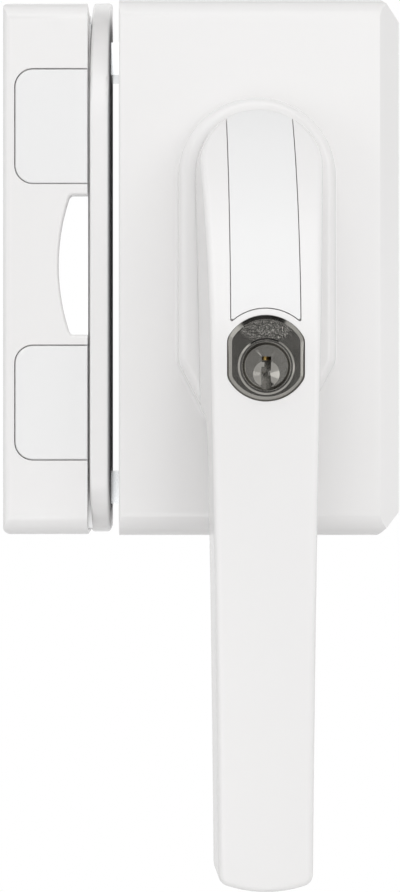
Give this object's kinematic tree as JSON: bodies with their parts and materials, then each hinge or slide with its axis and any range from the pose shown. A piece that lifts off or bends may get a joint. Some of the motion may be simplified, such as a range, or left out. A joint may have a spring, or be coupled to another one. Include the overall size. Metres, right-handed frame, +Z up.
{
  "type": "window lock",
  "caption": "Surface window lock: a lever handle with a key cylinder turns on a case and, by a rack, drives sliding bolts into a keeper on the frame.",
  "frame": {"origin": "where the handle's axis meets the mounting plane, halfway between the two sash screws", "axes": "+X to the right as seen from the room (the keeper is at -X), +Y into the window, +Z up"},
  "size_m": [0.0947, 0.0984, 0.2093],
  "materials": {
    "white_coat": "white powder coat, semi-gloss",
    "white_plastic": "white moulded plastic",
    "zinc_steel": "bright zinc plated steel",
    "bright_steel": "ground steel",
    "dark_nickel": "nickel plated, slightly dark",
    "brass": "turned brass",
    "spring_steel": "spring steel",
    "bush_plastic": "white acetal"
  },
  "bodies": {
    "lock_and_keeper": {"lock_case": "white_coat", "lock_base_plate": "zinc_steel", "case_screws": "zinc_steel", "upper_bolt_guide": "bush_plastic", "lower_bolt_guide": "bush_plastic", "guide_posts": "zinc_steel", "bearing_plate": "zinc_steel", "bearing_screws": "zinc_steel", "detent_ball": "bright_steel", "detent_spring": "spring_steel", "detent_holder": "zinc_steel", "detent_plug": "brass", "handle_bush": "bush_plastic", "keeper_front_plate": "white_coat", "keeper_housing": "white_coat", "upper_screw_cover": "white_plastic", "lower_screw_cover": "white_plastic", "upper_keeper_block": "zinc_steel", "lower_keeper_block": "zinc_steel", "keeper_plate_screws": "zinc_steel", "keeper_base_plate": "zinc_steel"},
    "handle": {"handle_body": "white_coat", "handle_cover_strip": "white_plastic", "handle_screw": "zinc_steel", "spindle": "bright_steel", "drive_pinion": "zinc_steel", "detent_disc": "zinc_steel", "drive_sleeve": "zinc_steel", "retaining_clip": "spring_steel", "cylinder_body": "dark_nickel", "driver_pins": "brass", "pin_springs": "spring_steel", "cylinder_screws": "zinc_steel"},
    "bolts": {"bolt_carriage": "zinc_steel", "bolt_rack": "zinc_steel", "upper_bolt": "bright_steel", "lower_bolt": "bright_steel", "bolt_rivets": "zinc_steel"},
    "key_plug": {"cylinder_plug": "dark_nickel", "key_pins": "brass"},
    "lock_pin": {"locking_pin": "bright_steel"}
  },
  "joints": [
    {"name": "handle_turn", "type": "hinge", "parent": "lock_and_keeper", "child": "handle", "pos_m": [0, 0, 0], "axis": [0, -1, 0], "range_deg": [0, 180]},
    {"name": "bolt_slide", "type": "slide", "parent": "lock_and_keeper", "child": "bolts", "axis": [1, 0, 0], "range_m": [0, 0.022]},
    {"name": "key_turn", "type": "hinge", "parent": "handle", "child": "key_plug", "pos_m": [0, 0, -0.0453], "axis": [0, -1, 0], "range_deg": [0, 90]},
    {"name": "pin_slide", "type": "slide", "parent": "handle", "child": "lock_pin", "axis": [0, 1, 0], "range_m": [0, 0.00451]}
  ],
  "couplings": [
    {"joint": "bolt_slide", "follows": "handle_turn", "m_per_rad": 0.007},
    {"joint": "pin_slide", "follows": "key_turn", "m_per_rad": 0.0028648}
  ]
}
